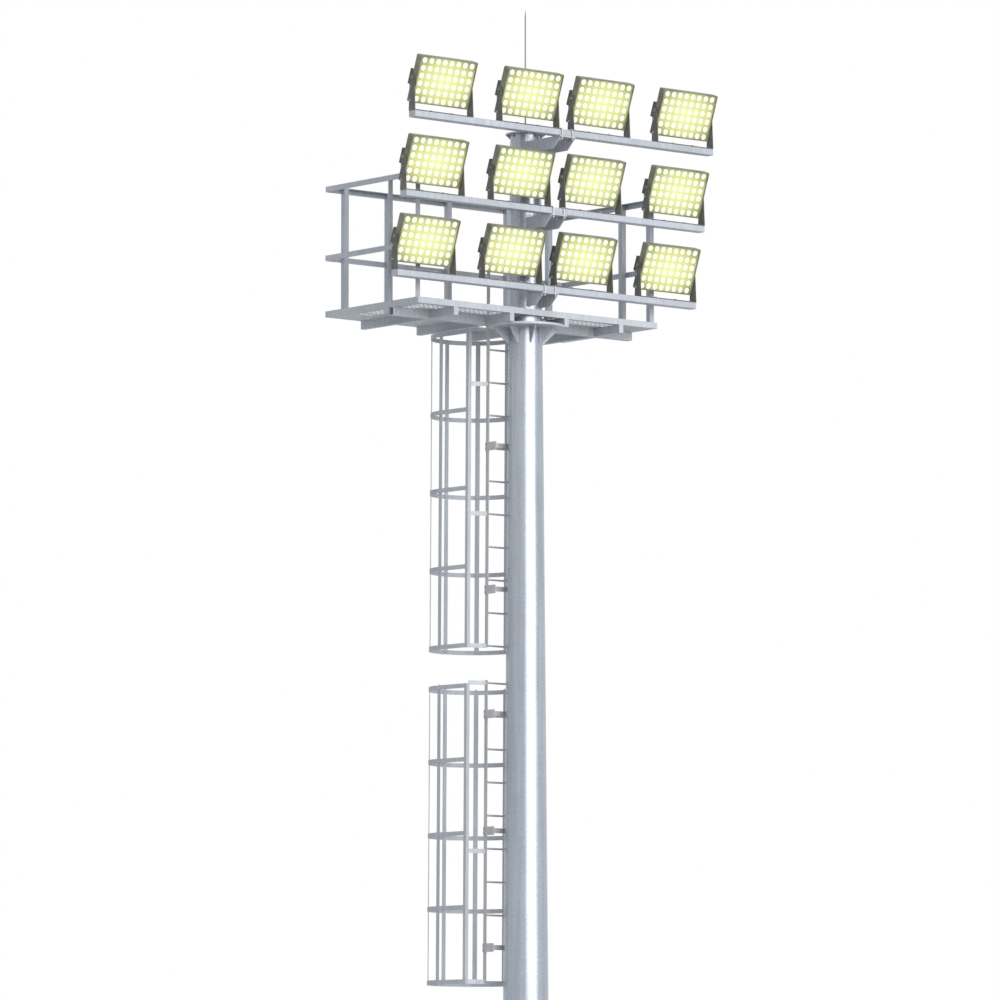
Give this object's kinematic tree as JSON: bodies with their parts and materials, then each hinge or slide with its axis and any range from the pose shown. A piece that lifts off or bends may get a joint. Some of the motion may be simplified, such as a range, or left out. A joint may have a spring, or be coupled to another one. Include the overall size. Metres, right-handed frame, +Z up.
{
  "type": "stadium floodlight mast",
  "caption": "Tapered steel mast with a railed head platform, stepped crossarms of tilting LED floodlights, a caged rear ladder and a lightning rod.",
  "frame": {"origin": "centre of the base flange's underside, on the mast's axis", "axes": "+X along the crossarms, -Y the way the lamps face, +Y the ladder side, +Z up the mast"},
  "size_m": [3.5546, 1.8561, 12.778],
  "materials": {
    "galvanised_steel": "dull galvanised, faint spangle",
    "yoke_coat": "dark powder coat",
    "floor_sheet": "perforated galvanised sheet",
    "zinc_bolts": "zinc plated",
    "rod_aluminium": "satin",
    "lamp_housing": "dark powder coat"
  },
  "bodies": {
    "mast": {"base_flange": "galvanised_steel", "mast_lower": "galvanised_steel", "mast_middle": "galvanised_steel", "mast_upper": "galvanised_steel", "access_cover": "galvanised_steel", "head_flange": "galvanised_steel", "head_column": "galvanised_steel", "column_cap": "galvanised_steel", "lightning_rod": "rod_aluminium", "platform_frame": "galvanised_steel", "platform_bearers": "galvanised_steel", "floor_planks": "floor_sheet", "railing_left": "galvanised_steel", "railing_rear": "galvanised_steel", "railing_right": "galvanised_steel", "ladder_upper": "galvanised_steel", "ladder_middle": "galvanised_steel", "ladder_lower": "galvanised_steel", "cage_upper": "galvanised_steel", "cage_middle": "galvanised_steel", "cage_lower": "galvanised_steel", "ladder_brackets": "galvanised_steel", "crossarm_bottom": "galvanised_steel", "crossarm_middle": "galvanised_steel", "crossarm_top": "galvanised_steel", "arm_end_caps": "galvanised_steel", "arm_bracket_bottom": "galvanised_steel", "arm_bracket_middle": "galvanised_steel", "arm_bracket_top": "galvanised_steel", "u_bolts": "zinc_bolts", "yokes_bottom": "yoke_coat", "yokes_middle": "yoke_coat", "yokes_top": "yoke_coat"},
    "floodlight_bottom_1": {"floodlight_bottom_1": "lamp_housing"},
    "floodlight_bottom_2": {"floodlight_bottom_2": "lamp_housing"},
    "floodlight_bottom_3": {"floodlight_bottom_3": "lamp_housing"},
    "floodlight_bottom_4": {"floodlight_bottom_4": "lamp_housing"},
    "floodlight_middle_1": {"floodlight_middle_1": "lamp_housing"},
    "floodlight_middle_2": {"floodlight_middle_2": "lamp_housing"},
    "floodlight_middle_3": {"floodlight_middle_3": "lamp_housing"},
    "floodlight_middle_4": {"floodlight_middle_4": "lamp_housing"},
    "floodlight_top_1": {"floodlight_top_1": "lamp_housing"},
    "floodlight_top_2": {"floodlight_top_2": "lamp_housing"},
    "floodlight_top_3": {"floodlight_top_3": "lamp_housing"},
    "floodlight_top_4": {"floodlight_top_4": "lamp_housing"}
  },
  "joints": [
    {"name": "tilt_bottom_1", "type": "hinge", "parent": "mast", "child": "floodlight_bottom_1", "pos_m": [-1.432, -0.296, 10.499], "axis": [1, 0, 0], "range_deg": [-20, 10]},
    {"name": "tilt_bottom_2", "type": "hinge", "parent": "mast", "child": "floodlight_bottom_2", "pos_m": [-0.422, -0.296, 10.499], "axis": [1, 0, 0], "range_deg": [-20, 30]},
    {"name": "tilt_bottom_3", "type": "hinge", "parent": "mast", "child": "floodlight_bottom_3", "pos_m": [0.422, -0.296, 10.499], "axis": [1, 0, 0], "range_deg": [-20, 30]},
    {"name": "tilt_bottom_4", "type": "hinge", "parent": "mast", "child": "floodlight_bottom_4", "pos_m": [1.432, -0.296, 10.499], "axis": [1, 0, 0], "range_deg": [-20, 10]},
    {"name": "tilt_middle_1", "type": "hinge", "parent": "mast", "child": "floodlight_middle_1", "pos_m": [-1.432, -0.417, 11.199], "axis": [1, 0, 0], "range_deg": [-20, 65]},
    {"name": "tilt_middle_2", "type": "hinge", "parent": "mast", "child": "floodlight_middle_2", "pos_m": [-0.422, -0.417, 11.199], "axis": [1, 0, 0], "range_deg": [-20, 65]},
    {"name": "tilt_middle_3", "type": "hinge", "parent": "mast", "child": "floodlight_middle_3", "pos_m": [0.422, -0.417, 11.199], "axis": [1, 0, 0], "range_deg": [-20, 65]},
    {"name": "tilt_middle_4", "type": "hinge", "parent": "mast", "child": "floodlight_middle_4", "pos_m": [1.432, -0.417, 11.199], "axis": [1, 0, 0], "range_deg": [-20, 65]},
    {"name": "tilt_top_1", "type": "hinge", "parent": "mast", "child": "floodlight_top_1", "pos_m": [-1.432, -0.538, 11.899], "axis": [1, 0, 0], "range_deg": [-20, 65]},
    {"name": "tilt_top_2", "type": "hinge", "parent": "mast", "child": "floodlight_top_2", "pos_m": [-0.422, -0.538, 11.899], "axis": [1, 0, 0], "range_deg": [-20, 65]},
    {"name": "tilt_top_3", "type": "hinge", "parent": "mast", "child": "floodlight_top_3", "pos_m": [0.422, -0.538, 11.899], "axis": [1, 0, 0], "range_deg": [-20, 65]},
    {"name": "tilt_top_4", "type": "hinge", "parent": "mast", "child": "floodlight_top_4", "pos_m": [1.432, -0.538, 11.899], "axis": [1, 0, 0], "range_deg": [-20, 65]}
  ]
}
